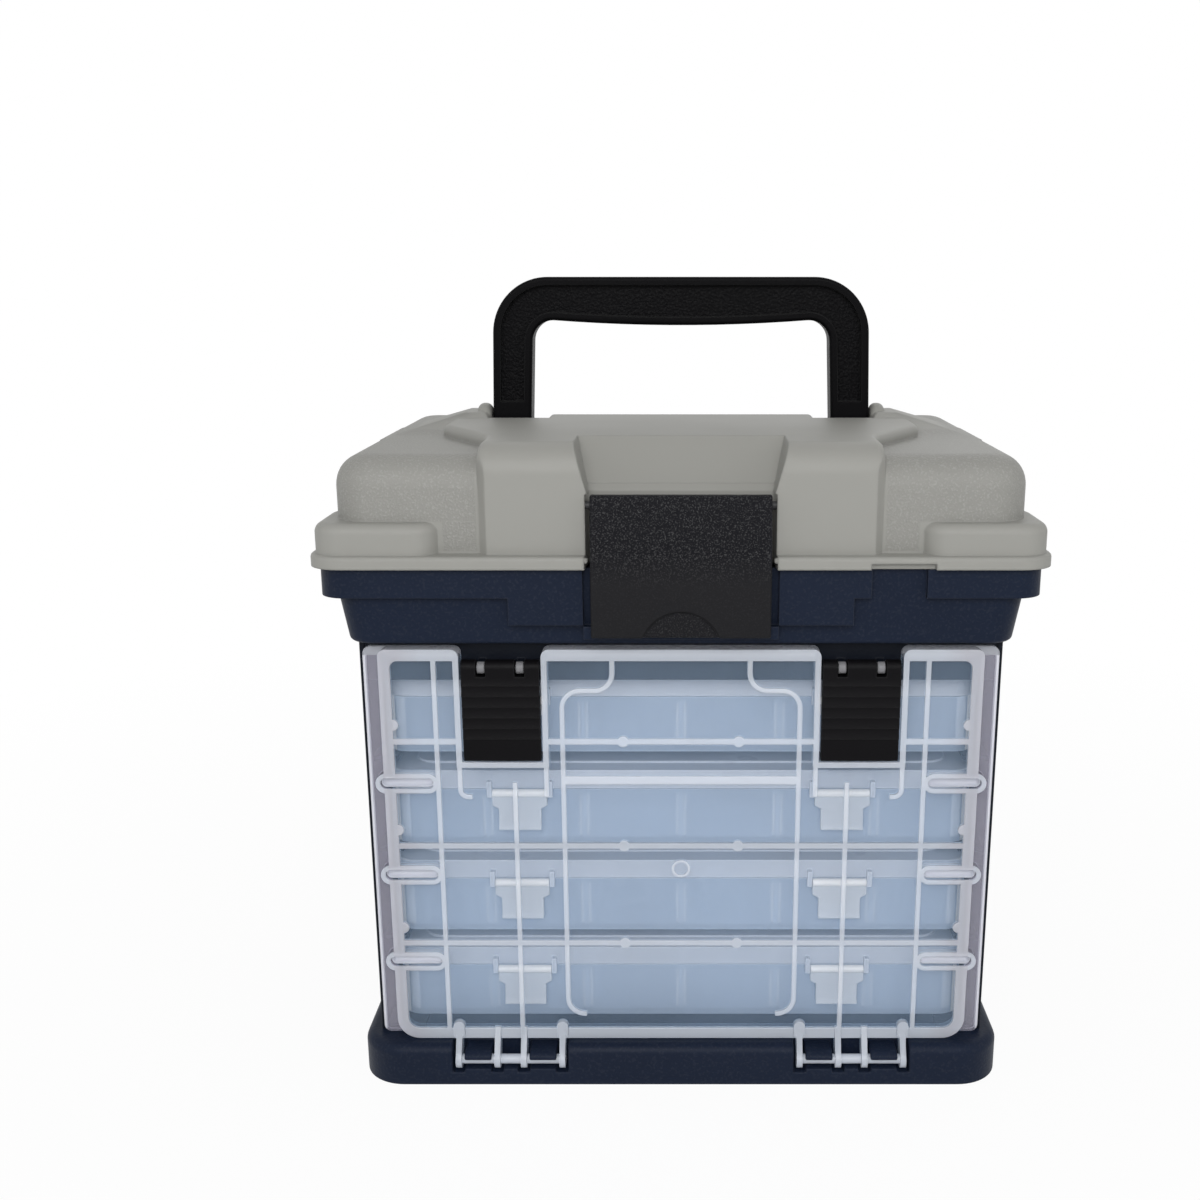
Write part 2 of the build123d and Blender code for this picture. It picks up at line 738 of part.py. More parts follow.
def door_ribs(half):
    """The drawing of all the thin ribs on the door's face."""
    outer = door_outline(half, door_base, door_top, door_corner, door_top_corner)
    inner = door_outline(half - door_frame, door_base + door_frame, door_top - door_frame,
                         door_corner - door_frame, door_top_corner)
    ribs = outer - inner
    middle = door_base + door_height / 2
    for x in (-door_outer_rib, door_outer_rib):
        ribs += Pos(x, middle) * Rectangle(door_rib, door_height)
    cell = latch_z - latch_length - 2 * door_frame
    for x in (-door_middle_rib, door_middle_rib):
        ribs += Pos(x, (door_base + cell) / 2) * Rectangle(door_rib, cell - door_base)
    for height in door_row_heights:
        ribs += Pos(0, door_base + height) * Rectangle(2 * half, door_row_rib)
        for x in (-row_pad_offset, row_pad_offset):
            ribs += Pos(x, door_base + height) * Circle(row_pad_radius)
        for x in (door_frame - half, half - door_frame):
            ribs += Pos(x, door_base + height + door_frame + door_row_rib) * Circle(door_row_rib)
    shelf = door_base + door_shelf_height
    ribs += Pos(0, shelf) * Rectangle(2 * door_label_half, door_shelf_rib)
    gate = Pos(0, door_base + gate_height)
    ribs += gate * Circle(gate_radius) - gate * Circle(gate_radius - gate_ring)
    for side in (-1, 1):
        shoulder = door_top - door_label_shoulder
        foot = door_base + door_label_bottom
        label = FilletPolyline((side * door_label_neck, door_top), (side * door_label_neck, shoulder),
                               (side * door_label_half, shoulder), (side * door_label_half, foot),
                               (side * (door_label_half - door_label_hook), foot),
                               radius=door_label_radius)
        ribs += trace(label, door_rib)
        bay = latch_width / 2 + notch_side_gap + door_wall / 2
        x = side * latch_spacing / 2
        foot = latch_z - latch_length - bay_drop
        hooked = FilletPolyline((x + side * bay, door_top), (x + side * bay, foot),
                                (x + side * (bay - bay_hook), foot), radius=bay_round)
        ribs += trace(hooked, door_rib)
        ribs += Pos(x - side * bay, (door_top + foot) / 2) * Rectangle(door_rib, door_top - foot)
    return ribs


def make_slot_frames(half, flange_face, rib_face):
    """Raised rims round the side slots; their outer ends stand past the panel's side."""
    outer_end = half + slot_bulge
    rims = Sketch()
    for height in slot_heights:
        for side in (-1, 1):
            place = Pos(side * (slot_inner + outer_end) / 2, door_base + height)
            rims += place * SlotOverall(outer_end - slot_inner, slot_height + 2 * slot_frame)
    return sheet(rims, flange_face, rib_face)


def cut_slots(door, half, flange_face, rib_face):
    """The slots inside the rims, open in front, each with a thin floor at its back."""
    outer_end = half + slot_bulge - slot_frame
    start = slot_inner + slot_frame
    for height in slot_heights:
        for side in (-1, 1):
            place = Pos(side * (start + outer_end) / 2, door_base + height)
            slot = place * SlotOverall(outer_end - start, slot_height)
            door -= sheet(slot, flange_face - slot_floor, rib_face - overcut)
    return door


def make_hinge(x, rib_face):
    """Four fingers on the door's lower edge with one rod through them."""
    root = door_base + finger_root
    inner = door_face + door_skin
    hinge = rod(x + finger_offsets[0], x + finger_offsets[-1], hinge_y, hinge_height, hinge_rod)
    for offset in finger_offsets:
        x0 = x + offset - finger_thickness / 2
        x1 = x + offset + finger_thickness / 2
        outline = [(hinge_y - finger_radius, hinge_height), (rib_face, root), (inner, root),
                   (inner, door_base), (hinge_y + finger_radius, hinge_height)]
        hinge += along_x(outline, x0, x1)
        hinge += rod(x0, x1, hinge_y, hinge_height, finger_radius)
    for offset in (finger_offsets[0], finger_offsets[-1]):
        boss = Pos(x + offset, door_base + hinge_boss_height / 2) * Rot(0, 0, 90)
        boss = boss * SlotOverall(hinge_boss_height, 2 * hinge_boss_radius)
        hinge += sheet(boss, door_face, rib_face - door_rib_rise)
    return hinge


# Door latches

def make_door_latch(x):
    """A plate hung from a barrel, slotted for the lugs, with grip ridges across it."""
    half = latch_width / 2
    face = latch_y - latch_barrel
    foot = latch_z - latch_length
    latch = block(x - half, x + half, face, face + latch_plate, foot, latch_z)
    latch += rod(x - half, x + half, latch_y, latch_z, latch_barrel)
    for i in range(latch_grips):
        upper = latch_z - latch_grip_start - i * latch_grip_pitch
        lower = upper - latch_grip_height
        ridge = [(face, upper), (face - latch_grip_rise, lower), (face, lower)]
        latch += along_x(ridge, x - half, x + half)
    for offset in (-latch_lug_offset, latch_lug_offset):
        half_slot = latch_lug / 2 + latch_lug_gap
        latch -= block(x + offset - half_slot, x + offset + half_slot,
                       face - overcut, latch_y + latch_barrel,
                       latch_z - latch_slot_drop, latch_z + latch_barrel)
    return latch - rod(x - half, x + half, latch_y, latch_z, latch_pin + bore_gap)


def make_door_latch_pins():
    pins = []
    for side in (-1, 1):
        x = side * latch_spacing / 2
        half = latch_width / 2
        pins.append(rod(x - half, x + half, latch_y, latch_z, latch_pin))
    return Compound(children=pins)


# Top tub

def tub_plan(width, y_front, y_rear, z, inset):
    radius = tub_base_corner - inset
    return (width / 2 - inset, front + y_front + inset, rear - y_rear - inset, z, radius)


def make_tub():
    shoulder = rack_top + tub_shoulder_height
    tub = tapered_slab(tub_plan(tub_base_width, tub_base_front, tub_base_rear, rack_top, 0),
                       tub_plan(tub_shoulder_width, tub_shoulder_front, tub_shoulder_rear, shoulder, 0))
    tub = fillet(edges_at(tub, Axis.Z, rack_top), tub_edge)
    tub += slab(tub_band_width / 2, front + tub_band_front, lid_rear, shoulder, parting, tub_band_corner)
    wall_front = front + tub_shoulder_front
    band_front = front + tub_band_front
    for side in (-1, 1):
        ends = sorted((side * latch_bay_half, side * step_outer))
        tub += block(ends[0], ends[1], band_front, wall_front + tub_wall, shoulder - step_drop, shoulder)
    hollow = tapered_slab(
        tub_plan(tub_base_width, tub_base_front, tub_base_rear, rack_top + tub_floor, tub_wall),
        tub_plan(tub_shoulder_width, tub_shoulder_front, tub_shoulder_rear, shoulder, tub_wall))
    band = slab(tub_band_width / 2 - tub_wall, band_front + tub_wall, lid_rear - tub_wall,
                shoulder, parting, tub_band_corner - tub_wall)
    openings = ((-latch_bay_half, latch_bay_half), (band_gap_start, band_gap_end))
    for left, right in openings:
        band -= block(left - tub_wall, right + tub_wall, band_front, wall_front + tub_wall,
                      shoulder, parting)
    tub -= hollow + band
    for left, right in openings:
        tub -= block(left, right, band_front, wall_front, shoulder, parting)
    # The catch behind the lower end of the main latch
    catch_face = main_latch_face + main_latch_plate + main_bead - running_gap
    catch_base = rack_top + catch_lift
    tub += block(-latch_bay_half, latch_bay_half, catch_face, wall_front + tub_wall + catch_reach,
                 catch_base, catch_base + catch_height)
    tub -= hollow
    for x in (-tub_screw_x, tub_screw_x):
        for y in (-screw_y, screw_y):
            tub -= post(x, y, rack_top, rack_top + tub_floor, screw_shank + pin_fit)
    for x0, x1 in knuckle_spans((-1, 1)):
        tub += make_knuckle(x0, x1, -1, tub_wall, pin_fit)
    return tub


# Lid hinge: on each side a lid knuckle sits between two tub knuckles

def knuckle_spans(places):
    """X ranges of the knuckles at the given places (-1, 0, 1) of both hinges."""
    spans = []
    for centre in (-lid_hinge_spacing / 2, lid_hinge_spacing / 2):
        for place in places:
            middle = centre + place * lid_knuckle_length
            half = lid_knuckle_length / 2 - lid_knuckle_gap / 2
            spans.append((middle - half, middle + half))
    return spans


def make_knuckle(x0, x1, direction, wall, gap):
    """A knuckle with a web to the wall above (1) or below (-1) the parting line."""
    start = parting if direction < 0 else lid_base
    outline = [(lid_rear - wall, start + direction * lid_knuckle_web), (lid_rear - wall, start),
               (lid_hinge_y, start), (lid_hinge_y, parting + direction * lid_knuckle)]
    knuckle = along_x(outline, x0, x1) + rod(x0, x1, lid_hinge_y, parting, lid_knuckle)
    return knuckle - rod(x0, x1, lid_hinge_y, parting, lid_pin + gap)


def make_lid_pins():
    pins = []
    reach = 1.5 * lid_knuckle_length - lid_knuckle_gap / 2
    for centre in (-lid_hinge_spacing / 2, lid_hinge_spacing / 2):
        pins.append(rod(centre - reach, centre + reach, lid_hinge_y, parting, lid_pin))
    return Compound(children=pins)


# Lid

def make_lid():
    block_top = parting + lid_block_height
    crown_top = parting + crown_height
    block_half = lid_block_width / 2
    body = slab(block_half, lid_block_front, lid_block_rear, lid_base, block_top, lid_block_corner)
    body = fillet(edges_at(body, Axis.Z, block_top), lid_block_edge)
    for boss in make_bosses():
        body += boss
    lip = slab(lid_width / 2, lid_front, lid_rear, lid_base, lid_step, lip_corner)
    body += fillet(edges_at(lip, Axis.Z, lid_step), lip_edge)
    well_half = handle_width / 2 + handle_side_gap
    body -= block(-well_half, well_half, crown_back, lid_rear, well_floor, crown_top)
    body += make_crown(crown_top)
    body += mirrored(make_ear(well_half))
    ear_end = well_half + ear_thickness
    body -= mirrored(rod(well_half, ear_end, handle_pivot_y, handle_z, handle_pin + pin_fit))
    body -= make_lid_hollow(block_half, crown_top)
    for x0, x1 in ((-strap_outer, -strap_inner), (strap_inner, strap_outer)):
        body += block(x0, x1, recess_floor, recess_floor + lid_wall, lid_base, crown_top - strap_edge)
    body -= make_recess(crown_top)
    body -= block(lip_notch_start, lip_notch_end, lid_front, front + tub_band_front, lid_base,
                  lid_base + lip_notch_height)
    grip = recess_bottom_half + main_pin_grip
    body -= rod(-grip, grip, main_pivot_y, main_pivot_z, main_pin + pin_fit)
    for x0, x1 in knuckle_spans((0,)):
        body += make_knuckle(x0, x1, 1, lid_wall, bore_gap)
    return body


def make_bosses():
    """Low rounded blocks at the four corners, just above the lip."""
    half = boss_width / 2
    front_end = lid_front + boss_setback
    rear_end = lid_rear - boss_setback
    top = lid_step + boss_height
    bosses = []
    for side in (-1, 1):
        for y0, y1 in ((front_end, front_end + boss_back), (rear_end - boss_back, rear_end)):
            middle = Pos(side * (boss_end + half) / 2, (y0 + y1) / 2, lid_base)
            boss = extrude(middle * RectangleRounded(half - boss_end, y1 - y0, boss_corner), top - lid_base)
            bosses.append(fillet(edges_at(boss, Axis.Z, top), boss_edge))
    return bosses


def make_crown(crown_top):
    """The raised middle: two straps up the front, a slab that flares towards the handle and a tongue."""
    plan = [(-strap_outer, strap_front), (-crown_half, lid_block_front), (-crown_half, crown_flare_start),
            (-crown_flare_half, crown_flare_end), (-crown_flare_half, crown_back),
            (-tongue_half, crown_back), (-tongue_half, tongue_back)]
    plan = plan + [(-x, y) for x, y in reversed(plan)]
    crown = along_z(plan, lid_base, crown_top)
    bends = crown.edges().filter_by(Axis.Z)
    bends = bends.filter_by_position(Axis.Y, crown_flare_start - overcut, crown_flare_end + overcut)
    crown = fillet(bends, crown_bend)
    nose = crown.edges().filter_by(Axis.X).group_by(Axis.Z)[-1].group_by(Axis.Y)[0]
    crown = fillet(nose, strap_edge)
    rim = edges_at(crown, Axis.Z, crown_top).sort_by(Axis.Y)[1:]
    return fillet(rim, crown_edge)


def make_ear(well_half):
    """A lug for the handle's pivot, the ridge that falls from it to the side and the cove before it."""
    outer = well_half + ear_thickness
    floor = well_floor - lid_wall
    ridge_back = handle_pivot_y + ridge_half_depth
    ridge_face = handle_pivot_y - ridge_half_depth
    peak = handle_z + ridge_top
    ear = rod(well_half, well_half + ear_width, handle_pivot_y, handle_z, ear_radius)
    ear = fillet(ear.edges().filter_by(GeomType.CIRCLE), ear_round)
    ridge = Polygon((well_half, floor), (well_half, peak), (outer, peak),
                    (ridge_end, handle_z - ridge_end_drop), (ridge_end, floor), align=None)
    ridge = fillet(ridge.vertices().sort_by(Axis.Y)[-2:], ridge_round)
    foot = parting + lid_block_height
    start = ridge_face - cove_length
    hollow_point = ((start + ridge_face) / 2, (foot + peak) / 2 - cove_sag)
    section = make_face([Line((start, floor), (start, foot)),
                         ThreePointArc((start, foot), hollow_point, (ridge_face, peak)),
                         Line((ridge_face, peak), (ridge_back, peak)),
                         Line((ridge_back, peak), (ridge_back, floor)),
                         Line((ridge_back, floor), (start, floor))])
    side = Plane(origin=(well_half, 0, 0), x_dir=(0, 1, 0), z_dir=(1, 0, 0))
    cove = extrude(side * section, ridge_end - well_half, dir=(1, 0, 0))
    return ear + (cove & sheet(ridge, ridge_back, start))


def make_lid_hollow(block_half, crown_top):
    """The room inside the lid; it stays clear of the latch recess and of the well."""
    ceiling = parting + lid_inside_height
    hollow = slab(block_half - lid_wall, lid_block_front + lid_wall, lid_block_rear - lid_inside_rear_gap,
                  lid_base, ceiling, lid_block_corner - lid_wall)
    side = recess_bottom_half + lid_wall
    hollow -= block(-side, side, lid_block_front, recess_floor + lid_wall, lid_base, ceiling)
    half = crown_half - lid_wall
    hollow += block(-half, half, recess_top + 2 * lid_wall, crown_back - lid_wall, lid_base,
                    crown_top - lid_wall)
    return hollow


def make_recess(crown_top):
    """The bay for the main latch, narrower at its back, with a slope from it up to the crown."""
    bay_top = parting + recess_floor_top
    mouth = lid_front - overcut
    bay = along_z([(-recess_bottom_half, mouth), (-recess_back_half, recess_floor),
                   (recess_back_half, recess_floor), (recess_bottom_half, mouth)], lid_base, bay_top)
    sides = along_y([(-recess_back_half, bay_top), (-recess_top_half, crown_top),
                     (recess_top_half, crown_top), (recess_back_half, bay_top)], mouth, recess_top)
    slope = along_x([(mouth, bay_top), (recess_floor, bay_top), (recess_top, crown_top), (mouth, crown_top)],
                    -recess_top_half, recess_top_half)
    return bay + (sides & slope)


# Handle, with a web between raised beads

def make_handle():
    top = handle_z + handle_rise
    outer = Polygon((-handle_width / 2, handle_z), (handle_width / 2, handle_z),
                    (handle_top_width / 2, top), (-handle_top_width / 2, top), align=None)
    outer = fillet(outer.vertices().sort_by(Axis.Y)[-2:], handle_corner)
    low = handle_width / 2 - handle_leg
    high = handle_top_width / 2 - handle_leg
    grip = top - handle_grip
    inner = make_face([Line((-high, grip), (-low, handle_z)), Line((-low, handle_z), (low, handle_z)),
                       Line((low, handle_z), (high, grip)),
                       ThreePointArc((high, grip), (0, grip - handle_bow), (-high, grip))])
    inner = fillet(inner.vertices().sort_by(Axis.Y)[-2:], handle_inner_corner)
    bow = outer - inner
    y_back = handle_pivot_y + handle_depth / 2
    y_face = handle_pivot_y - handle_depth / 2
    handle = sheet(bow, y_back, y_face)
    handle = fillet(edges_at(handle, Axis.Y, y_face) + edges_at(handle, Axis.Y, y_back), handle_round)
    web = offset(bow, -handle_bead)
    web -= Pos(0, handle_z) * Rectangle(handle_width, handle_depth + 2 * handle_bead)
    handle -= sheet(web, y_back, y_back - handle_web)
    handle -= sheet(web, y_face + handle_web, y_face)
    for side in (-1, 1):
        ends = sorted((side * low, side * handle_width / 2))
        handle += rod(ends[0], ends[1], handle_pivot_y, handle_z, handle_depth / 2)
        handle -= rod(ends[0], ends[1], handle_pivot_y, handle_z, handle_pin + bore_gap)
    return handle


def make_handle_pins():
    pins = []
    inner = handle_width / 2 - handle_leg
    outer = handle_width / 2 + handle_side_gap + ear_thickness
    for side in (-1, 1):
        ends = sorted((side * inner, side * outer))
        pins.append(rod(ends[0], ends[1], handle_pivot_y, handle_z, handle_pin))
    return Compound(children=pins)


# Main latch

def make_main_latch():
    """A leaning plate on a barrel, with a bead behind its lower edge and a thumb hollow in front."""
    half = main_latch_width / 2
    top = parting + main_latch_top
    foot = parting - main_latch_drop
    face = main_latch_face
    bend = parting + main_latch_bend
    outline = [(face, foot), (face, bend), (face + main_latch_lean, top),
               (face + main_latch_lean + main_latch_plate, top), (face + main_latch_plate, bend),
               (face + main_latch_plate, foot)]
    latch = along_x(outline, -half, half)
    latch += rod(-half, half, main_pivot_y, main_pivot_z, main_barrel)
    latch += block(-half + main_bead, half - main_bead, face + main_latch_plate,
                   face + main_latch_plate + main_bead - 2 * running_gap, foot, foot + main_bead)
    latch -= knob(0, foot - thumb_drop, face - overcut, face + thumb_depth, thumb_radius)
    return latch - rod(-half, half, main_pivot_y, main_pivot_z, main_pin + bore_gap)


def make_main_latch_pin():
    reach = recess_bottom_half + main_pin_grip - pin_fit
    return rod(-reach, reach, main_pivot_y, main_pivot_z, main_pin)


# Write one file for every piece

def write(name, piece):
    export_step(piece, os.path.join("parts", name + ".step"))


os.makedirs("parts", exist_ok=True)
write("base_plinth", make_plinth())
rack_side = make_rack_side()
write("rack_side_left", mirror(rack_side, about=Plane.YZ))
write("rack_side_right", rack_side)
write("rack_back", make_rack_back())
write("rack_header", make_rack_header())
write("assembly_screws", make_screws())
write("top_tub", make_tub())
write("lid_shell", make_lid())
write("lid_hinge_pins", make_lid_pins())
write("carry_handle", make_handle())
write("handle_pivot_pins", make_handle_pins())
write("main_latch", make_main_latch())
write("main_latch_pin", make_main_latch_pin())
write("front_door", make_door())
write("door_latch_left", make_door_latch(-latch_spacing / 2))
write("door_latch_right", make_door_latch(latch_spacing / 2))
write("door_latch_pins", make_door_latch_pins())
tray = make_tray()
box_lid = make_box_lid()
clasps = make_clasps()
dividers = make_dividers()
for level in range(box_count):
    lift = Pos(0, 0, level * box_pitch)
    write(f"box_tray_{level + 1}", lift * tray)
    write(f"box_lid_{level + 1}", lift * box_lid)
    write(f"box_clasps_{level + 1}", lift * clasps)
    write(f"box_dividers_{level + 1}", lift * dividers)
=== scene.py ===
# %% [markdown]
# # A tackle box with four utility boxes
# The solids of this box come from a imported CAD model, and this lesson gives them their looks.
# The frame holds every solid at its real size and place, in metres, so nothing has to be fitted.

# %% Load the frame
import json
from math import radians

import bpy
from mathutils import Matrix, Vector

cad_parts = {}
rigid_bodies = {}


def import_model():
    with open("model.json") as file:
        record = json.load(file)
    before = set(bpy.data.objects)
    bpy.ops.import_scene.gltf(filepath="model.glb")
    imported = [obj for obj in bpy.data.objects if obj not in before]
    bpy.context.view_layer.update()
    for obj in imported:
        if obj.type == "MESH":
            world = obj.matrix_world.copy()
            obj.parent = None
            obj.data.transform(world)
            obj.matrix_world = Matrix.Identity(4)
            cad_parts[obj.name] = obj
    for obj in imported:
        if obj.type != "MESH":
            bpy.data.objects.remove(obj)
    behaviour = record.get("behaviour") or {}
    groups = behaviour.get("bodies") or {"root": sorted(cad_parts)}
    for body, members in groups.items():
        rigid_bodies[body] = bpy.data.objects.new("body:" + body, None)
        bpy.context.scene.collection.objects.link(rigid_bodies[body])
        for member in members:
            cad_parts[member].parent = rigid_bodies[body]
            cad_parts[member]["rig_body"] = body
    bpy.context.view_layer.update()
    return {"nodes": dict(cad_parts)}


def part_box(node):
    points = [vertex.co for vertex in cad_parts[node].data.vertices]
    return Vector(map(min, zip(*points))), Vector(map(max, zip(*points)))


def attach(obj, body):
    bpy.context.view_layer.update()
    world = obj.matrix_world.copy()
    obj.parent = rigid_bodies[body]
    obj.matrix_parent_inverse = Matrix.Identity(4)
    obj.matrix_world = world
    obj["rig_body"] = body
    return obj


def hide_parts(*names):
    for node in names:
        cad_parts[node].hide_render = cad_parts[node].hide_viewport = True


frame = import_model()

nodes = frame["nodes"]
scene = bpy.context.scene
scene.view_settings.view_transform = "Standard"

# %% [markdown]
# ## The studio
# The box stands on a plain pale floor in front of nothing, as a product does in a catalogue.
# A wide floor plane catches a faint contact shadow. For the camera and for mirror-like rays
# the floor and the world look almost white, while the light that they throw on the box stays plain.


# %% Floor and world
def seen_directly(tree):
    """A factor that is 1 for camera, glossy and transmission rays and 0 for the rest."""
    path = tree.nodes.new("ShaderNodeLightPath")
    first = tree.nodes.new("ShaderNodeMath")
    first.operation = "MAXIMUM"
    tree.links.new(path.outputs["Is Camera Ray"], first.inputs[0])
    tree.links.new(path.outputs["Is Glossy Ray"], first.inputs[1])
    second = tree.nodes.new("ShaderNodeMath")
    second.operation = "MAXIMUM"
    tree.links.new(first.outputs[0], second.inputs[0])
    tree.links.new(path.outputs["Is Transmission Ray"], second.inputs[1])
    return second.outputs[0]


def make_floor_paint():
    paint = bpy.data.materials.new("studio_floor")
    paint.use_nodes = True
    tree = paint.node_tree
    tree.nodes.clear()
    matt = tree.nodes.new("ShaderNodeBsdfDiffuse")
    matt.inputs["Color"].default_value = (0.86, 0.86, 0.86, 1)
    glow = tree.nodes.new("ShaderNodeEmission")
    glow.inputs["Strength"].default_value = 1.0
    place = tree.nodes.new("ShaderNodeTexCoord")
    reach = tree.nodes.new("ShaderNodeVectorMath")
    reach.operation = "LENGTH"
    tree.links.new(place.outputs["Object"], reach.inputs[0])
    fade = tree.nodes.new("ShaderNodeMapRange")
    fade.inputs["From Min"].default_value = 0.1
    fade.inputs["From Max"].default_value = 0.7
    fade.inputs["To Min"].default_value = 0.94
    fade.inputs["To Max"].default_value = 1.0
    tree.links.new(reach.outputs["Value"], fade.inputs["Value"])
    share = tree.nodes.new("ShaderNodeMath")
    share.operation = "MULTIPLY"
    tree.links.new(seen_directly(tree), share.inputs[0])
    tree.links.new(fade.outputs["Result"], share.inputs[1])
    mix = tree.nodes.new("ShaderNodeMixShader")
    tree.links.new(share.outputs[0], mix.inputs["Fac"])
    tree.links.new(matt.outputs[0], mix.inputs[1])
    tree.links.new(glow.outputs[0], mix.inputs[2])
    out = tree.nodes.new("ShaderNodeOutputMaterial")
    tree.links.new(mix.outputs[0], out.inputs["Surface"])
    return paint


bpy.ops.object.select_all(action="DESELECT")
bpy.ops.mesh.primitive_plane_add(size=30, location=(0, 0, 0))
floor = bpy.context.object
floor.name = "studio_floor"
floor.data.materials.append(make_floor_paint())

world = bpy.data.worlds.new("studio_world")
scene.world = world
world.use_nodes = True
sky = world.node_tree
sky.nodes.clear()
room_light = sky.nodes.new("ShaderNodeBackground")
room_light.inputs["Color"].default_value = (1, 1, 1, 1)
room_light.inputs["Strength"].default_value = 0.35
seen_white = sky.nodes.new("ShaderNodeBackground")
seen_white.inputs["Color"].default_value = (1, 1, 1, 1)
seen_white.inputs["Strength"].default_value = 1.0
choose = sky.nodes.new("ShaderNodeMixShader")
sky.links.new(seen_directly(sky), choose.inputs["Fac"])
sky.links.new(room_light.outputs[0], choose.inputs[1])
sky.links.new(seen_white.outputs[0], choose.inputs[2])
world_out = sky.nodes.new("ShaderNodeOutputWorld")
sky.links.new(choose.outputs[0], world_out.inputs["Surface"])
print("floor and world made")

# %% [markdown]
# ## Lamps
# Soft boxes light the box: a large one in front and a little above, and weak ones on each side and
# behind. So the faces that look to the sides are darker, and show the form of the lid.


# %% Four soft boxes
lamp_target = Vector((0, 0, 0.15))


def soft_box(name, place, size, power):
    bpy.ops.object.light_add(type="AREA", location=place)
    lamp = bpy.context.object
    lamp.name = name
    lamp.data.shape = "RECTANGLE"
    lamp.data.size = size[0]
    lamp.data.size_y = size[1]
    lamp.data.energy = power
    aim = lamp_target - Vector(place)
    lamp.rotation_euler = aim.to_track_quat("-Z", "Y").to_euler()


soft_box("key_light", (-0.05, -1.40, 0.92), (1.1, 0.8), 14.5)
soft_box("right_light", (1.2, -0.8, 0.7), (0.8, 1.0), 2.2)
soft_box("left_light", (-1.2, -0.6, 0.6), (0.8, 1.0), 1.2)
soft_box("rear_light", (0.3, 1.2, 1.1), (1.4, 0.8), 3)
print("four lamps made")

# %% [markdown]
# ## Camera
# The photograph looks at the box from the front and a little above.
# The lens, the height and the tilt were found from the widths of the lid's rim and of the plinth.
# A small lens shift puts the box right of and above the middle of the frame, as it is there.

# %% Camera
camera_place = (0, -0.604, 0.3206)
camera_tilt = radians(75.1)
bpy.ops.object.camera_add(location=camera_place, rotation=(camera_tilt, 0, 0))
camera = bpy.context.object
camera.name = "catalogue_camera"
camera.data.sensor_width = 36
camera.data.lens = 42
camera.data.shift_x = -0.0675
camera.data.shift_y = 0.0417
scene.camera = camera
print("camera lens", camera.data.lens)

# %% [markdown]
# ## Moulded edges
# No edge on a moulded part is knife sharp. A CAD node is loose triangles, so we take a copy,
# merge its points, join the triangles that lie in one plane, and run a small bevel along the edges
# where the shape is simple enough for it. Weighted normals then keep the flat faces flat, so that
# the light runs evenly over them and turns only at the rounds.
# The copy stands for its node: it rides on the same body, and the node is hidden.


# %% Helpers that select points and round the edges of a CAD node
merge_distance = 0.000002
flat_angle = radians(0.4)
bevel_segments = 3
bevel_angle = radians(32)
smooth_angle = radians(34)


def apply_modifier(piece, modifier):
    bpy.context.view_layer.objects.active = piece
    bpy.ops.object.modifier_apply(modifier=modifier.name)


def select_points(piece, wanted):
    """Select, in edit mode, the points that a rule picks by their place."""
    bpy.ops.object.mode_set(mode="EDIT")
    bpy.ops.mesh.select_all(action="DESELECT")
    bpy.ops.object.mode_set(mode="OBJECT")
    for point in piece.data.vertices:
        point.select = wanted(point.co)
    bpy.ops.object.mode_set(mode="EDIT")


def moulded_copy(node, width, shape=None):
    """A copy of a CAD node without its imported normals; shape, if given, changes it in edit mode."""
    source = nodes[node]
    piece = bpy.data.objects.new(node + "_moulded", source.data.copy())
    scene.collection.objects.link(piece)
    bpy.ops.object.select_all(action="DESELECT")
    bpy.context.view_layer.objects.active = piece
    piece.select_set(True)
    bpy.ops.mesh.customdata_custom_splitnormals_clear()
    bpy.ops.object.mode_set(mode="EDIT")
    bpy.ops.mesh.select_all(action="SELECT")
    bpy.ops.mesh.remove_doubles(threshold=merge_distance)
    bpy.ops.mesh.dissolve_limited(angle_limit=flat_angle)
    if shape:
        shape(piece)
    bpy.ops.object.mode_set(mode="OBJECT")
    if width:
        bevel = piece.modifiers.new("soft_edges", "BEVEL")
        bevel.width = width
        bevel.segments = bevel_segments
        bevel.limit_method = "ANGLE"
        bevel.angle_limit = bevel_angle
        bevel.use_clamp_overlap = False
        apply_modifier(piece, bevel)
    bpy.ops.object.shade_smooth_by_angle(angle=smooth_angle)
    even = piece.modifiers.new("even_normals", "WEIGHTED_NORMAL")
    even.keep_sharp = True
    apply_modifier(piece, even)
    piece.data.materials.clear()
    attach(piece, source["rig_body"])
    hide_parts(node)
    print(node, "faces", len(piece.data.polygons))
    return piece


# %% [markdown]
# ## Small node helpers
# A finish is built from a few kinds of node again and again: a noise, a sum, a step between
# two places. These helpers add one node each and hand back the socket that carries its result.


# %% Node helpers
def feed(tree, socket, value):
    """Link a socket to another one, or set it to a plain number."""
    if isinstance(value, bpy.types.NodeSocket):
        tree.links.new(value, socket)
    else:
        socket.default_value = value


def math(tree, operation, first, second=0.0):
    step = tree.nodes.new("ShaderNodeMath")
    step.operation = operation
    feed(tree, step.inputs[0], first)
    feed(tree, step.inputs[1], second)
    return step.outputs[0]


def between(tree, value, low, high, start=0.0, end=1.0):
    """Take a value from low to high over to the range from start to end, and stop there."""
    step = tree.nodes.new("ShaderNodeMapRange")
    feed(tree, step.inputs["Value"], value)
    step.inputs["From Min"].default_value = low
    step.inputs["From Max"].default_value = high
    step.inputs["To Min"].default_value = start
    step.inputs["To Max"].default_value = end
    return step.outputs["Result"]


def noise(tree, place, scale, detail=2.0):
    step = tree.nodes.new("ShaderNodeTexNoise")
    step.inputs["Scale"].default_value = scale
    step.inputs["Detail"].default_value = detail
    tree.links.new(place, step.inputs["Vector"])
    return step.outputs["Fac"]


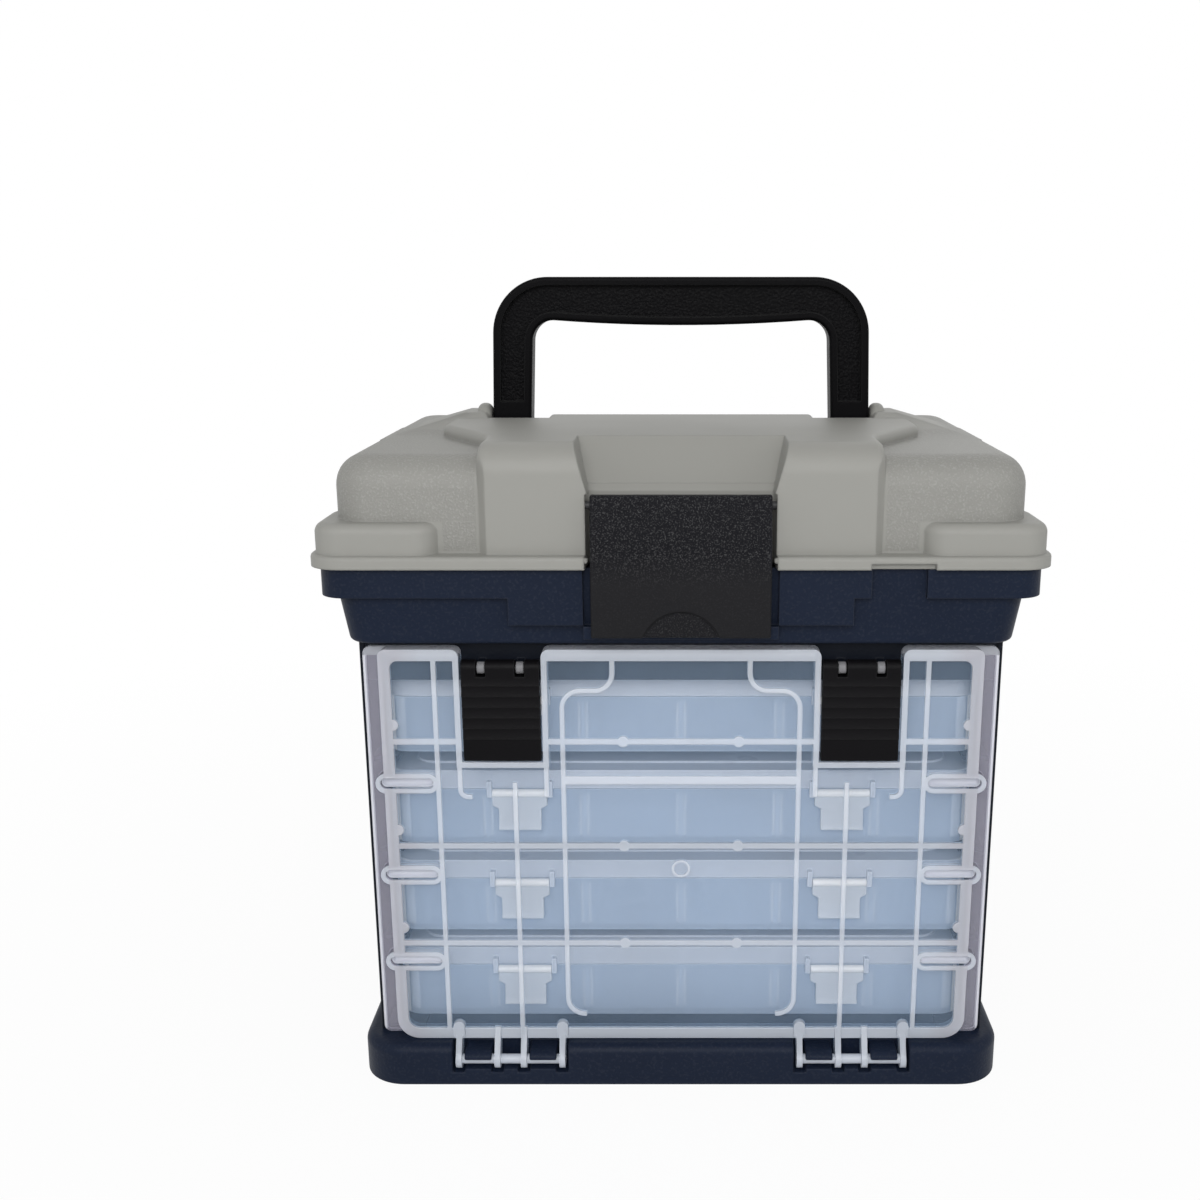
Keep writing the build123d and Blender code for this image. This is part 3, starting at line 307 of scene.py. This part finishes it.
def mixed(tree, share, first, second):
    """A colour between two colours; each is a colour or a socket."""
    step = tree.nodes.new("ShaderNodeMix")
    step.data_type = "RGBA"
    feed(tree, step.inputs[0], share)
    for socket, colour in ((step.inputs[6], first), (step.inputs[7], second)):
        feed(tree, socket, colour if isinstance(colour, bpy.types.NodeSocket) else (*colour, 1))
    return step.outputs[2]


def axes(tree, place):
    """The distance from the middle plane, the depth and the height of a point."""
    split = tree.nodes.new("ShaderNodeSeparateXYZ")
    tree.links.new(place, split.inputs[0])
    side = math(tree, "ABSOLUTE", split.outputs["X"])
    return side, split.outputs["Y"], split.outputs["Z"]


def edge_share(tree, soft):
    """1 along the sharp edges and 0 on the faces: a rounded normal leaves the true one there."""
    on_face, on_edge = 0.985, 0.8
    true = tree.nodes.new("ShaderNodeNewGeometry")
    turn = tree.nodes.new("ShaderNodeVectorMath")
    turn.operation = "DOT_PRODUCT"
    tree.links.new(true.outputs["Normal"], turn.inputs[0])
    tree.links.new(soft, turn.inputs[1])
    return between(tree, turn.outputs["Value"], on_face, on_edge)


def shades(colour, part):
    """A darker and a lighter shade of one colour."""
    return [c * (1 - part) for c in colour], [min(1, c * (1 + part)) for c in colour]


# %% [markdown]
# ## Plastics
# Every finish here is a moulded plastic. One helper lays down its common marks: a faint cloud
# in the colour, a grain with its own relief, slightly lighter edges as a painted highlight, and a gloss
# that changes a little.
# A mask, where one is given, says which part of the moulding has the grain, and the rest may have a
# colour of its own. Each finish sets its colour, gloss and grain size.


# %% A helper for moulded plastic
cloud_size, cloud_detail = 14, 3
cloud_span = (0.3, 0.7)
fleck_span = (0.52, 0.68)
highlight_lift = 0.35
gloss_swing = 0.04
grain_height = 0.001
edge_samples = 4


def plastic(name, colour, rough, gloss=0.25, grain=900.0, depth=0.1, cloud=0.06, speckle=0.0,
            highlight_share=0.25, soft_radius=0.0007, mask=None, bare=None):
    paint = bpy.data.materials.new(name)
    paint.use_nodes = True
    tree = paint.node_tree
    surface = tree.nodes["Principled BSDF"]
    surface.inputs["Specular IOR Level"].default_value = gloss
    place = tree.nodes.new("ShaderNodeTexCoord").outputs["Object"]
    soft = tree.nodes.new("ShaderNodeBevel")
    soft.samples = edge_samples
    soft.inputs["Radius"].default_value = soft_radius
    edge = edge_share(tree, soft.outputs["Normal"])
    wide = noise(tree, place, cloud_size, cloud_detail)
    pebble = noise(tree, place, grain)
    grained = mask(tree, place) if mask else 1.0
    dark, light = shades(colour, cloud)
    shade = mixed(tree, between(tree, wide, *cloud_span), dark, light)
    if bare:
        shade = mixed(tree, grained, bare, shade)
    if speckle:
        fleck = math(tree, "MULTIPLY", between(tree, pebble, *fleck_span), grained)
        pale = [min(1, c + speckle) for c in colour]
        shade = mixed(tree, fleck, shade, pale)
    # The lighter edges are a painted highlight along each sharp edge.
    highlight_colour = [c + (1 - c) * highlight_share * highlight_lift for c in colour]
    shade = mixed(tree, math(tree, "MULTIPLY", edge, highlight_share), shade, highlight_colour)
    tree.links.new(shade, surface.inputs["Base Color"])
    relief = tree.nodes.new("ShaderNodeBump")
    relief.inputs["Distance"].default_value = grain_height
    feed(tree, relief.inputs["Strength"], math(tree, "MULTIPLY", grained, depth) if mask else depth)
    tree.links.new(pebble, relief.inputs["Height"])
    tree.links.new(soft.outputs["Normal"], relief.inputs["Normal"])
    tree.links.new(relief.outputs["Normal"], surface.inputs["Normal"])
    matt = between(tree, wide, *cloud_span, rough - gloss_swing, rough + gloss_swing)
    tree.links.new(matt, surface.inputs["Roughness"])
    return paint


# %% [markdown]
# ## Where the grain lies
# The lid's corner blocks are grained, and its straps, crown, bosses and lip are smooth.
# The main latch has a coarse pebble on its upper part and in the thumb hollow, and is smooth between.
# The masks tell these places apart by their distance from the middle, their depth and their height.
# Each border is a pair of places, in metres: where the mask starts to rise, and where it is full.

# %% Masks
block_side = (0.0762, 0.0768)
crown_foot = (0.2585, 0.2578)
lip_top = (0.2212, 0.2218)
boss_top = (0.2322, 0.2330)
boss_side = (0.0895, 0.0888)
pebble_foot = (0.210, 0.222)
thumb_middle = 0.1851
thumb_rim = (0.0152, 0.0146)
handle_middle = 0.022
web_border = (0.0052, 0.0045)


def lid_grain(tree, place):
    side, _, height = axes(tree, place)
    block = between(tree, side, *block_side)
    below_crown = between(tree, height, *crown_foot)
    above_lip = between(tree, height, *lip_top)
    off_boss = math(tree, "MAXIMUM", between(tree, height, *boss_top), between(tree, side, *boss_side))
    return math(tree, "MULTIPLY", math(tree, "MULTIPLY", block, below_crown),
                math(tree, "MULTIPLY", above_lip, off_boss))


def latch_pebble(tree, place):
    side, _, height = axes(tree, place)
    upper = between(tree, height, *pebble_foot, start=0.12)
    rise = math(tree, "SUBTRACT", height, thumb_middle)
    reach = math(tree, "SQRT", math(tree, "ADD", math(tree, "MULTIPLY", side, side),
                                    math(tree, "MULTIPLY", rise, rise)))
    thumb = between(tree, reach, *thumb_rim, end=0.6)
    return math(tree, "MAXIMUM", upper, thumb)


def handle_web(tree, place):
    """The web of the handle lies below its beads, so it is told apart by its depth."""
    _, depth, _ = axes(tree, place)
    off_middle = math(tree, "ABSOLUTE", math(tree, "SUBTRACT", depth, handle_middle))
    return between(tree, off_middle, *web_border, start=0.1)


# %% The solid colours
navy = plastic("navy_plastic", (0.0081, 0.0134, 0.0289), 0.46, gloss=0.1, grain=900,
               depth=0.12, speckle=0.006)
# The rack is the same navy plastic; this darker copy is painted shade, since the rack stands in shadow
# inside the box.
shaded_rack_navy = plastic("shaded_rack_plastic", (0.0045, 0.0065, 0.0120), 0.5, gloss=0.12, grain=800, depth=0.1)
lid_grey = plastic("grey_plastic", (0.270, 0.268, 0.250), 0.52, gloss=0.3, grain=1250,
                   depth=0.35, speckle=0.045, cloud=0.03, soft_radius=0.0012,
                   mask=lid_grain, bare=(0.297, 0.295, 0.274))
latch_black = plastic("black_pebbled_plastic", (0.0045, 0.0046, 0.0066), 0.5, gloss=0.09, grain=1800,
                      depth=0.5, speckle=0.045, mask=latch_pebble, bare=(0.0120, 0.0120, 0.0135))
grip_black = plastic("black_latch_plastic", (0.0040, 0.0037, 0.0045), 0.45, gloss=0.07,
                     grain=900, depth=0.1)
handle_black = plastic("black_handle_plastic", (0.0018, 0.0017, 0.0022), 0.42, gloss=0.05, grain=900,
                       depth=0.35, speckle=0.004, mask=handle_web)
# Pale grey for the header's lugs: a painted highlight on their navy plastic.
lug_highlight_grey = plastic("lit_lug_plastic", (0.20, 0.20, 0.21), 0.45, gloss=0.25, grain=900, depth=0.1)
steel = plastic("plated_steel", (0.50, 0.50, 0.51), 0.3, gloss=0.5, grain=300, depth=0.02)
steel.node_tree.nodes["Principled BSDF"].inputs["Metallic"].default_value = 1.0
dark_steel = plastic("blackened_steel", (0.030, 0.030, 0.032), 0.4, gloss=0.3, grain=300, depth=0.02)
print("solid colours made")

# %% [markdown]
# ## Clear plastics
# The door and the boxes are a milky clear plastic. Its faces let most of the light through, while its
# ribs, where there is more plastic to look through, are whiter, and its edges are whiter still, as a
# painted highlight.
# So the opacity starts from the skin's own, takes another value on each part that a rule picks, such
# as the door's ribs, which stand in front of its face, and is highest along the edges, where it paints a
# highlight line.


# %% A helper for clear plastic
milk_size, milk_detail = 18, 3
milk_swing = 0.02


def blended(tree, share, first, second):
    """A number between two numbers; each is a number or a socket."""
    step = tree.nodes.new("ShaderNodeMix")
    feed(tree, step.inputs[0], share)
    feed(tree, step.inputs[2], first)
    feed(tree, step.inputs[3], second)
    return step.outputs[0]


def clear_plastic(name, colour, rough, skin, highlight_opacity, edge_width=0.0006, parts=None):
    paint = plastic(name, colour, rough, gloss=0.5, grain=420, depth=0.03, cloud=0.03, highlight_share=0.9)
    tree = paint.node_tree
    surface = tree.nodes["Principled BSDF"]
    place = tree.nodes.new("ShaderNodeTexCoord").outputs["Object"]
    soft = tree.nodes.new("ShaderNodeBevel")
    soft.samples = edge_samples
    soft.inputs["Radius"].default_value = edge_width
    # Along the edges the opacity and the paleness rise, which paints a bright highlight line.
    edge = math(tree, "MULTIPLY", edge_share(tree, soft.outputs["Normal"]), highlight_opacity)
    haze = noise(tree, place, milk_size, milk_detail)
    milk = between(tree, haze, *cloud_span, skin - milk_swing, skin + milk_swing)
    shade = surface.inputs["Base Color"].links[0].from_socket
    for share, opacity, tint in (parts(tree, place) if parts else ()):
        milk = blended(tree, share, milk, opacity)
        shade = mixed(tree, share, shade, tint)
    tree.links.new(shade, surface.inputs["Base Color"])
    tree.links.new(math(tree, "MAXIMUM", milk, edge), surface.inputs["Alpha"])
    return paint


# %% Parts of the clear mouldings
strip_side = (0.1160, 0.1164)
brim_side = (0.1219, 0.1222)
crest_foot = (0.1795, 0.1799)
rib_depth = (-0.0868, -0.0870)
frame_inner = (0.1000, 0.1090)
frame_outer = (0.1166, 0.1162)
slot_front = (-0.06985, -0.06975)
slot_back = (-0.0679, -0.0680)
upright_rise = (0.5, 0.3)


def door_parts(tree, place):
    """The door's side and top strips, its ribs and its side frame: share, opacity and colour."""
    side, depth, height = axes(tree, place)
    strip = between(tree, side, *strip_side)
    brim = between(tree, side, *brim_side)
    crest = between(tree, height, *crest_foot)
    ribs = between(tree, depth, *rib_depth)
    inside = math(tree, "MULTIPLY", between(tree, side, *frame_inner), between(tree, side, *frame_outer))
    frame_side = math(tree, "MULTIPLY", ribs, inside)
    return ((strip, 0.26, (0.60, 0.59, 0.71)),
            (brim, 0.80, (0.78, 0.79, 0.86)),
            (crest, 0.45, (0.62, 0.64, 0.70)),
            (ribs, 0.55, (0.77, 0.82, 0.91)),
            (frame_side, 0.60, (0.66, 0.67, 0.74)))


def tray_slots(tree, place):
    """The upright slots inside a tray's front wall, which hold the dividers."""
    _, depth, _ = axes(tree, place)
    true = tree.nodes.new("ShaderNodeNewGeometry")
    _, _, rise = axes(tree, true.outputs["Normal"])
    upright = between(tree, math(tree, "ABSOLUTE", rise), *upright_rise)
    near = math(tree, "MULTIPLY", between(tree, depth, *slot_front), between(tree, depth, *slot_back))
    return ((math(tree, "MULTIPLY", near, upright), 0.92, (0.90, 0.93, 0.97)),)


# %% The clear plastics
door_clear = clear_plastic("frosted_door", (0.45, 0.62, 0.85), 0.2, 0.11, 0.92, parts=door_parts)
slot_clear = clear_plastic("frosted_slot", (0.78, 0.80, 0.88), 0.15, 0.62, 0.95)
tray_clear = clear_plastic("milky_tray", (0.62, 0.74, 0.92), 0.3, 0.45, 0.75, edge_width=0.0013,
                           parts=tray_slots)
lid_clear = clear_plastic("milky_box_lid", (0.80, 0.85, 0.95), 0.3, 0.56, 0.95, edge_width=0.0013)
divider_clear = clear_plastic("milky_divider", (0.76, 0.83, 0.93), 0.3, 0.7, 0.95, edge_width=0.0010)
clasp_clear = clear_plastic("clear_clasp", (0.80, 0.83, 0.88), 0.3, 0.6, 0.9, edge_width=0.0010)
clasp_bar = clear_plastic("white_clasp_bar", (0.93, 0.92, 0.91), 0.3, 0.95, 0.98)
print("clear plastics made")

# %% [markdown]
# ## Dressing the solids
# Each moulding gets its copy with soft edges and its finish. The lid, the tub, the door and the handle
# are rounded in the CAD model already, or by the finish alone, and the clear boxes keep sharp edges,
# because there the finish paints a highlight as a bright line along each edge.
# The grips of the door latches are spread a little on the copy, to stand as far apart as they should.

# %% Copies of the mouldings
grip_face = -0.0876
grip_foot, grip_head = 0.1495, 0.1690
grip_middle = (0, 0, (grip_foot + grip_head) / 2)
grip_spread = 1.3


def spread_grips(latch):
    select_points(latch, lambda p: p.y < grip_face and grip_foot < p.z < grip_head)
    bpy.ops.transform.resize(value=(1, 1, grip_spread), center_override=grip_middle)


for node, bevel_width, paint, shape in (
        ("base_plinth", 0.0006, navy, None),
        ("rack_side_left", 0.0004, shaded_rack_navy, None),
        ("rack_side_right", 0.0004, shaded_rack_navy, None),
        ("rack_back", 0.0004, shaded_rack_navy, None),
        ("rack_header", 0.0003, shaded_rack_navy, None),
        ("top_tub", 0, navy, None),
        ("lid_shell", 0, lid_grey, None),
        ("carry_handle", 0, handle_black, None),
        ("main_latch", 0.0007, latch_black, None),
        ("door_latch_left", 0.0002, grip_black, spread_grips),
        ("door_latch_right", 0.0002, grip_black, spread_grips),
        ("front_door", 0, door_clear, None)):
    moulded_copy(node, bevel_width, shape).data.materials.append(paint)

box_levels = (1, 2, 3, 4)
for level in box_levels:
    for part, paint in (("tray", tray_clear), ("lid", lid_clear),
                        ("clasps", clasp_clear), ("dividers", divider_clear)):
        moulded_copy(f"box_{part}_{level}", 0).data.materials.append(paint)

for node, paint in (("lid_hinge_pins", steel), ("handle_pivot_pins", dark_steel),
                    ("main_latch_pin", dark_steel), ("door_latch_pins", dark_steel)):
    nodes[node].data.materials.clear()
    nodes[node].data.materials.append(paint)

# %% [markdown]
# ## A second colour on some faces
# The lugs that hold the door latches get a pale grey, a painted highlight on their navy plastic, and the
# bar along the top of each box clasp is whiter than its plate. A second material goes on those faces,
# picked by their place.


# %% A second colour on some faces
def recolour(piece, paint, wanted):
    piece.data.materials.append(paint)
    picked = [face for face in piece.data.polygons if wanted(face.center)]
    for face in picked:
        face.material_index = len(piece.data.materials) - 1
    print(piece.name, "recoloured faces", len(picked))


# The pale lugs are a painted highlight, not a colour of their own.
lug_front = -0.0846
recolour(bpy.data.objects["rack_header_moulded"], lug_highlight_grey, lambda p: p.y < lug_front)

bar_height = 0.0034
for level in box_levels:
    bar_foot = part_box(f"box_clasps_{level}")[1][2] - bar_height
    recolour(bpy.data.objects[f"box_clasps_{level}_moulded"], clasp_bar, lambda p: p.z > bar_foot)

# %% [markdown]
# ## Troughs in the door's slots
# Six finger slots in the sides of the door end in a smooth rounded trough, which catches bright lines of
# light. We round a bar all over, cut its front half away, and give the shell that is left a thin wall.

# %% One trough
trough_side, trough_depth = 0.1073, -0.0854
trough_heights = (0.0525, 0.0903, 0.1290)
trough_size = (0.0208, 0.0042, 0.0042)
trough_round = 0.00205
trough_wall = 0.0004
bpy.ops.object.select_all(action="DESELECT")
bpy.ops.mesh.primitive_cube_add(size=1, location=(trough_side, trough_depth, trough_heights[0]))
trough = bpy.context.object
trough.name = "slot_trough_right_1"
trough.scale = trough_size
bpy.ops.object.transform_apply(location=True, rotation=True, scale=True)
bpy.ops.object.mode_set(mode="EDIT")
bpy.ops.mesh.select_all(action="SELECT")
bpy.ops.mesh.bevel(offset=trough_round, segments=6, affect="EDGES")
bpy.ops.mesh.select_all(action="SELECT")
bpy.ops.mesh.bisect(plane_co=(0, trough_depth, 0), plane_no=(0, 1, 0), clear_inner=True)
bpy.ops.object.mode_set(mode="OBJECT")
wall = trough.modifiers.new("wall", "SOLIDIFY")
wall.thickness = trough_wall
wall.offset = -1
apply_modifier(trough, wall)
bpy.ops.object.shade_smooth_by_angle(angle=radians(40))
trough.data.materials.append(slot_clear)
print("trough faces", len(trough.data.polygons))

# %% Six troughs
troughs = [trough]
for level, height in enumerate(trough_heights, 1):
    for side, name in ((1, "right"), (-1, "left")):
        if (side, level) == (1, 1):
            continue
        bpy.ops.object.select_all(action="DESELECT")
        trough.select_set(True)
        bpy.context.view_layer.objects.active = trough
        bpy.ops.object.duplicate(linked=False)
        bpy.ops.transform.translate(value=((side - 1) * trough_side, 0, height - trough_heights[0]))
        bpy.ops.object.transform_apply(location=True, rotation=True, scale=True)
        bpy.context.object.name = f"slot_trough_{name}_{level}"
        troughs.append(bpy.context.object)
for piece in troughs:
    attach(piece, "front_door")
print("troughs", len(troughs))

# %% [markdown]
# ## Tongues of the lip
# Beside the main latch the lid's lip ends in a small rounded tongue that reaches into the recess.
# A bar is made at its place, its free end is drawn in, and all its edges are rounded.

# %% Two tongues
tongue_place = (0.0359, -0.0934, 0.2189)
tongue_size = (0.0026, 0.0028, 0.0026)
tongue_pull = (0.0346, -0.0934, 0.2196)
tongue_taper = 0.7
tongue_round = 0.0006
bpy.ops.object.select_all(action="DESELECT")
bpy.ops.mesh.primitive_cube_add(size=1, location=tongue_place)
tongue = bpy.context.object
tongue.name = "lip_tongue_right"
tongue.scale = tongue_size
bpy.ops.object.transform_apply(location=True, rotation=True, scale=True)
select_points(tongue, lambda p: p.x < tongue_place[0])
bpy.ops.transform.resize(value=(1, tongue_taper, tongue_taper), center_override=tongue_pull)
bpy.ops.mesh.select_all(action="SELECT")
bpy.ops.mesh.bevel(offset=tongue_round, segments=4, affect="EDGES")
bpy.ops.object.mode_set(mode="OBJECT")
bpy.ops.object.shade_smooth_by_angle(angle=radians(50))
tongue.data.materials.append(lid_grey)
bpy.ops.object.duplicate(linked=False)
other_tongue = bpy.context.object
other_tongue.name = "lip_tongue_left"
other_tongue.scale.x = -1
bpy.ops.object.transform_apply(location=True, rotation=True, scale=True)
bpy.ops.object.mode_set(mode="EDIT")
bpy.ops.mesh.select_all(action="SELECT")
bpy.ops.mesh.normals_make_consistent(inside=False)
bpy.ops.object.mode_set(mode="OBJECT")
for piece in (tongue, other_tongue):
    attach(piece, "lid")
    print(piece.name, "faces", len(piece.data.polygons))

# %% [markdown]
# ## Ledge inside the tub's rim
# At the sides the tub's rim stands further out than its wall, and a thin ledge closes the space between
# them. Two rounded outlines, one in the rim and one on the wall, are bridged and given a thickness.
# An outline is its half width, its front, its rear and the radius of its corners.

# %% Rim ledge
ledge_rise, ledge_thickness = 0.0191, 0.0016
ledge_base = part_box("top_tub")[0][2] + ledge_rise
rim_outline = (0.1353, -0.0896, 0.0886, 0.0091)
wall_outline = (0.1288, -0.0876, 0.0878, 0.0086)
outlines = []
for half_width, front, rear, corner in (rim_outline, wall_outline):
    bpy.ops.object.select_all(action="DESELECT")
    bpy.ops.mesh.primitive_plane_add(size=1, location=(0, (front + rear) / 2, ledge_base))
    bpy.context.object.scale = (2 * half_width, rear - front, 1)
    bpy.ops.object.transform_apply(location=True, rotation=True, scale=True)
    bpy.ops.object.mode_set(mode="EDIT")
    bpy.ops.mesh.select_all(action="SELECT")
    bpy.ops.mesh.bevel(offset=corner, segments=6, affect="VERTICES")
    bpy.ops.mesh.select_all(action="SELECT")
    bpy.ops.mesh.delete(type="ONLY_FACE")
    bpy.ops.object.mode_set(mode="OBJECT")
    outlines.append(bpy.context.object)
for outline in outlines:
    outline.select_set(True)
bpy.ops.object.join()
ledge = bpy.context.object
ledge.name = "rim_ledge"
bpy.ops.object.mode_set(mode="EDIT")
bpy.ops.mesh.select_all(action="SELECT")
bpy.ops.mesh.bridge_edge_loops()
bpy.ops.mesh.select_all(action="SELECT")
bpy.ops.mesh.extrude_region_move(TRANSFORM_OT_translate={"value": (0, 0, ledge_thickness)})
bpy.ops.mesh.select_all(action="SELECT")
bpy.ops.mesh.normals_make_consistent(inside=False)
bpy.ops.object.mode_set(mode="OBJECT")
bpy.ops.object.transform_apply(location=True, rotation=True, scale=True)
ledge.data.materials.append(navy)
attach(ledge, "cabinet")
print("ledge faces", len(ledge.data.polygons), "at", round(ledge_base, 4))

# %% [markdown]
# ## Cross recesses in the screws
# The screws that hold the rack to the plinth and the tub have a cross in the head. On a copy of the
# screws, two cuts go into every head, first along its width and then along its depth.

# %% Screws
screw_depth = 0.055
base_screw_side, base_head = 0.1135, 0.0120
tub_screw_side, tub_head = 0.1150, 0.1900
cross_length, cross_width, cross_height = 0.0040, 0.0009, 0.0018
screw_heads = []
for side, height in ((base_screw_side, base_head), (tub_screw_side, tub_head)):
    screw_heads += [(x, y, height) for x in (-side, side) for y in (-screw_depth, screw_depth)]
screws = moulded_copy("assembly_screws", 0)
screws.data.materials.append(steel)
for bar in ((cross_length, cross_width, cross_height), (cross_width, cross_length, cross_height)):
    bpy.ops.object.select_all(action="DESELECT")
    cutters = []
    for head in screw_heads:
        bpy.ops.mesh.primitive_cube_add(size=1, location=head)
        bpy.context.object.scale = bar
        cutters.append(bpy.context.object)
    for cutter in cutters:
        cutter.select_set(True)
    bpy.ops.object.join()
    cutter = bpy.context.object
    cut = screws.modifiers.new("cross", "BOOLEAN")
    cut.operation = "DIFFERENCE"
    cut.solver = "EXACT"
    cut.object = cutter
    apply_modifier(screws, cut)
    bpy.data.objects.remove(cutter)
print("screw faces", len(screws.data.polygons))
